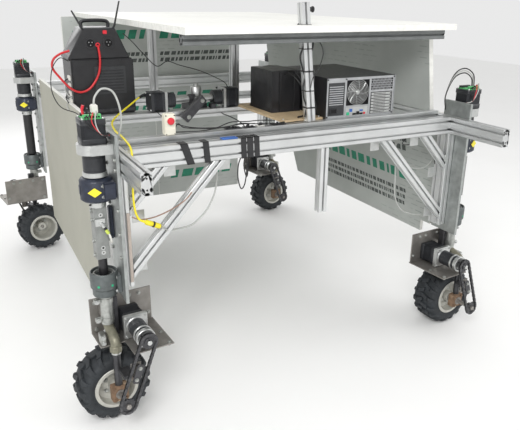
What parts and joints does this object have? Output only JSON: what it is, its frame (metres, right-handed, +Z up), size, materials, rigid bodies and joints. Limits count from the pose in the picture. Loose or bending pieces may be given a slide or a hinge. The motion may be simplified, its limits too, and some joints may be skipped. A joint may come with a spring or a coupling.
{
  "type": "over-row gantry field robot",
  "caption": "Gantry field robot on a slotted aluminium frame, with steered and chain-driven wheels on corner legs, side boards, a roof, a computer and a battery box.",
  "frame": {"origin": "on the ground below the middle of the robot's bounding box, cords not counted", "axes": "+X to the robot's right seen from its front beam looking in, +Y from the front beam to the back wall, +Z up"},
  "size_m": [2.1158, 2.4676, 1.584],
  "materials": {
    "profile": "satin",
    "plate": "satin",
    "column": "satin",
    "motor": "satin",
    "tyre": "matte",
    "rim": "satin",
    "sprocket": "satin",
    "grey_board": "matte",
    "white_board": "matte",
    "plywood": "matte",
    "computer": "satin",
    "black_plastic": "satin",
    "cream_plastic": "satin",
    "red_plastic": "satin",
    "yellow_cable": "satin",
    "red_cable": "satin"
  },
  "bodies": {
    "frame": {"front_beam": "profile", "rear_beam": "profile", "left_rail": "profile", "right_rail": "profile", "left_long_brace": "profile", "left_short_brace": "profile", "right_long_brace": "profile", "right_short_brace": "profile", "front_cross_rail": "profile", "middle_cross_rail": "profile", "mast": "profile", "hanging_post": "profile", "front_left_post": "profile", "front_left_corner_plate": "plate", "front_left_steer_motor": "motor", "front_right_post": "profile", "front_right_corner_plate": "plate", "front_right_steer_motor": "motor", "rear_left_post": "profile", "rear_left_corner_plate": "plate", "rear_left_steer_motor": "motor", "rear_right_post": "profile", "rear_right_corner_plate": "plate", "rear_right_steer_motor": "motor", "left_panel": "grey_board", "right_panel": "grey_board", "right_upper_panel": "white_board", "back_wall": "white_board", "roof": "white_board", "deck_board": "plywood", "pc_case": "computer", "black_case": "black_plastic", "battery_box": "black_plastic", "arm_motor_left": "motor", "arm_motor_right": "motor", "e_stop_box": "cream_plastic", "yellow_cord": "yellow_cable", "red_cord": "red_cable"},
    "front_left_steering": {"front_left_steering_column": "column", "front_left_drive_motor": "motor"},
    "front_left_drive": {"front_left_drive_sprocket": "sprocket"},
    "front_left_wheel": {"front_left_wheel_rim": "rim", "front_left_tyre": "tyre"},
    "front_right_steering": {"front_right_steering_column": "column", "front_right_drive_motor": "motor"},
    "front_right_drive": {"front_right_drive_sprocket": "sprocket"},
    "front_right_wheel": {"front_right_wheel_rim": "rim", "front_right_tyre": "tyre"},
    "rear_left_steering": {"rear_left_steering_column": "column", "rear_left_drive_motor": "motor"},
    "rear_left_drive": {"rear_left_drive_sprocket": "sprocket"},
    "rear_left_wheel": {"rear_left_wheel_rim": "rim", "rear_left_tyre": "tyre"},
    "rear_right_steering": {"rear_right_steering_column": "column", "rear_right_drive_motor": "motor"},
    "rear_right_drive": {"rear_right_drive_sprocket": "sprocket"},
    "rear_right_wheel": {"rear_right_wheel_rim": "rim", "rear_right_tyre": "tyre"},
    "arm": {"arm_bar": "motor"},
    "stop_button": {"e_stop_button": "red_plastic"}
  },
  "joints": [
    {"name": "front_left_steer", "type": "hinge", "parent": "frame", "child": "front_left_steering", "pos_m": [-0.83263, -0.90675, 0.7], "axis": [0, 0, 1], "range_deg": [-95, 45]},
    {"name": "front_left_wheel_spin", "type": "hinge", "parent": "front_left_steering", "child": "front_left_wheel", "pos_m": [-0.83263, -0.90675, 0.147], "axis": [0.0698, -0.9976, 0], "continuous": true},
    {"name": "front_left_drive_spin", "type": "hinge", "parent": "front_left_steering", "child": "front_left_drive", "pos_m": [-0.73786, -0.90012, 0.396], "axis": [0.0698, -0.9976, 0], "continuous": true},
    {"name": "front_right_steer", "type": "hinge", "parent": "frame", "child": "front_right_steering", "pos_m": [0.90737, -0.90675, 0.7], "axis": [0, 0, 1], "range_deg": [-40, 95]},
    {"name": "front_right_wheel_spin", "type": "hinge", "parent": "front_right_steering", "child": "front_right_wheel", "pos_m": [0.90737, -0.90675, 0.147], "axis": [0.0872, -0.9962, 0], "continuous": true},
    {"name": "front_right_drive_spin", "type": "hinge", "parent": "front_right_steering", "child": "front_right_drive", "pos_m": [0.81273, -0.91503, 0.396], "axis": [0.0872, -0.9962, 0], "continuous": true},
    {"name": "rear_left_steer", "type": "hinge", "parent": "frame", "child": "rear_left_steering", "pos_m": [-0.83263, 1.04025, 0.7], "axis": [0, 0, 1], "range_deg": [-45, 95]},
    {"name": "rear_left_wheel_spin", "type": "hinge", "parent": "rear_left_steering", "child": "rear_left_wheel", "pos_m": [-0.83263, 1.04025, 0.147], "axis": [-0.1392, 0.9903, 0], "continuous": true},
    {"name": "rear_left_drive_spin", "type": "hinge", "parent": "rear_left_steering", "child": "rear_left_drive", "pos_m": [-0.92671, 1.02703, 0.396], "axis": [-0.1392, 0.9903, 0], "continuous": true},
    {"name": "rear_right_steer", "type": "hinge", "parent": "frame", "child": "rear_right_steering", "pos_m": [0.90737, 1.04025, 0.7], "axis": [0, 0, 1], "range_deg": [-45, 95]},
    {"name": "rear_right_wheel_spin", "type": "hinge", "parent": "rear_right_steering", "child": "rear_right_wheel", "pos_m": [0.90737, 1.04025, 0.147], "axis": [0.1219, -0.9925, 0], "continuous": true},
    {"name": "rear_right_drive_spin", "type": "hinge", "parent": "rear_right_steering", "child": "rear_right_drive", "pos_m": [0.81308, 1.02867, 0.396], "axis": [0.1219, -0.9925, 0], "continuous": true},
    {"name": "arm_swing", "type": "hinge", "parent": "frame", "child": "arm", "pos_m": [-0.23763, -0.32575, 1.15], "axis": [-1, 0, 0], "range_deg": [0, 60]},
    {"name": "stop_press", "type": "slide", "parent": "frame", "child": "stop_button", "axis": [0, 1, 0], "range_m": [0, 0.004], "stiffness_N_per_m": 900}
  ],
  "couplings": [
    {"joint": "front_left_drive_spin", "follows": "front_left_wheel_spin", "ratio": 1},
    {"joint": "front_right_drive_spin", "follows": "front_right_wheel_spin", "ratio": 1},
    {"joint": "rear_left_drive_spin", "follows": "rear_left_wheel_spin", "ratio": 1},
    {"joint": "rear_right_drive_spin", "follows": "rear_right_wheel_spin", "ratio": 1}
  ]
}
